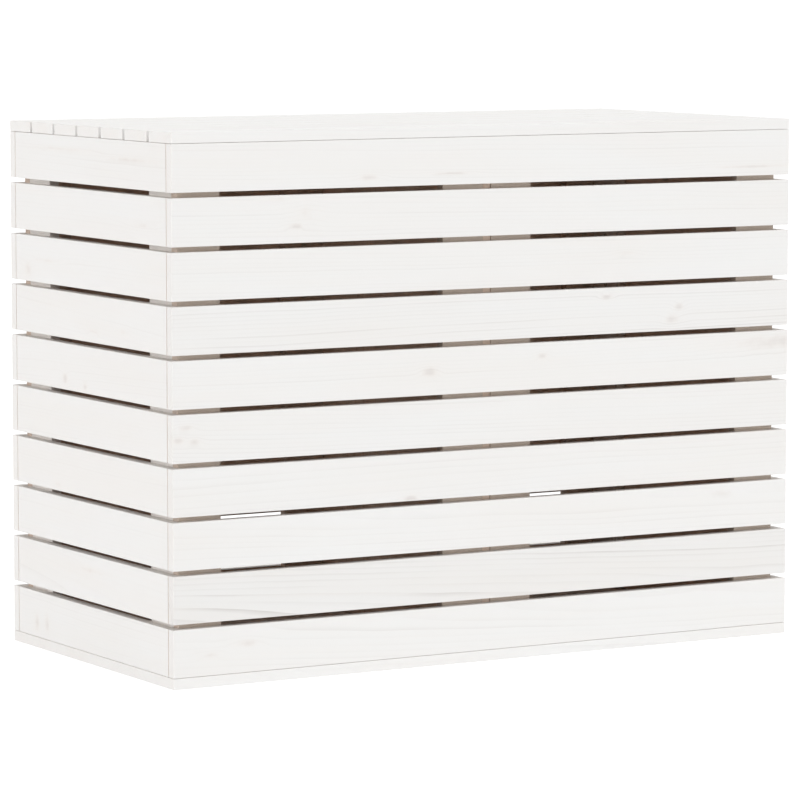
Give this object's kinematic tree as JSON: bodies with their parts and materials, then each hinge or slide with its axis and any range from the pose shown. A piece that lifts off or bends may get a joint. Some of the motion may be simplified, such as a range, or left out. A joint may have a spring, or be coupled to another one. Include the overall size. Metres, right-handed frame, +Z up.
{
  "type": "toy box",
  "caption": "Slatted wooden toy box with a base, a middle divider and a hinged slatted lid that covers two compartments.",
  "frame": {"origin": "middle of the footprint, hinge knuckles included, on the surface the box stands on", "axes": "+X to the right along the width, -Y is the front, +Z is up"},
  "size_m": [0.718, 0.3661, 0.537],
  "materials": {
    "whitewashed_pine": "thin white wash over pine, satin",
    "inner_pine": "pine with a thin wash, matt",
    "hinge_steel": "zinc plated, satin",
    "screw_steel": "zinc plated"
  },
  "bodies": {
    "box": {"front_slat_1": "whitewashed_pine", "front_slat_2": "whitewashed_pine", "front_slat_3": "whitewashed_pine", "front_slat_4": "whitewashed_pine", "front_slat_5": "whitewashed_pine", "front_slat_6": "whitewashed_pine", "front_slat_7": "whitewashed_pine", "front_slat_8": "whitewashed_pine", "front_slat_9": "whitewashed_pine", "front_slat_10": "whitewashed_pine", "back_slat_1": "whitewashed_pine", "back_slat_2": "whitewashed_pine", "back_slat_3": "whitewashed_pine", "back_slat_4": "whitewashed_pine", "back_slat_5": "whitewashed_pine", "back_slat_6": "whitewashed_pine", "back_slat_7": "whitewashed_pine", "back_slat_8": "whitewashed_pine", "back_slat_9": "whitewashed_pine", "back_slat_10": "whitewashed_pine", "left_slat_1": "whitewashed_pine", "left_slat_2": "whitewashed_pine", "left_slat_3": "whitewashed_pine", "left_slat_4": "whitewashed_pine", "left_slat_5": "whitewashed_pine", "left_slat_6": "whitewashed_pine", "left_slat_7": "whitewashed_pine", "left_slat_8": "whitewashed_pine", "left_slat_9": "whitewashed_pine", "left_slat_10": "whitewashed_pine", "right_slat_1": "whitewashed_pine", "right_slat_2": "whitewashed_pine", "right_slat_3": "whitewashed_pine", "right_slat_4": "whitewashed_pine", "right_slat_5": "whitewashed_pine", "right_slat_6": "whitewashed_pine", "right_slat_7": "whitewashed_pine", "right_slat_8": "whitewashed_pine", "right_slat_9": "whitewashed_pine", "right_slat_10": "whitewashed_pine", "base_panel": "whitewashed_pine", "divider_panel": "inner_pine", "front_battens": "inner_pine", "back_battens": "inner_pine", "side_battens": "inner_pine", "hinge_box_leaves": "hinge_steel", "hinge_pins": "hinge_steel", "box_screws": "screw_steel", "hinge_box_screws": "screw_steel"},
    "lid": {"lid_slat_1": "whitewashed_pine", "lid_slat_2": "whitewashed_pine", "lid_slat_3": "whitewashed_pine", "lid_slat_4": "whitewashed_pine", "lid_slat_5": "whitewashed_pine", "lid_slat_6": "whitewashed_pine", "lid_slat_7": "whitewashed_pine", "lid_battens": "inner_pine", "hinge_lid_leaves": "hinge_steel", "lid_screws": "screw_steel", "hinge_lid_screws": "screw_steel"}
  },
  "joints": [
    {"name": "lid_hinge", "type": "hinge", "parent": "box", "child": "lid", "pos_m": [0, 0.17965, 0.526], "axis": [-1, 0, 0], "range_deg": [0, 100]}
  ]
}
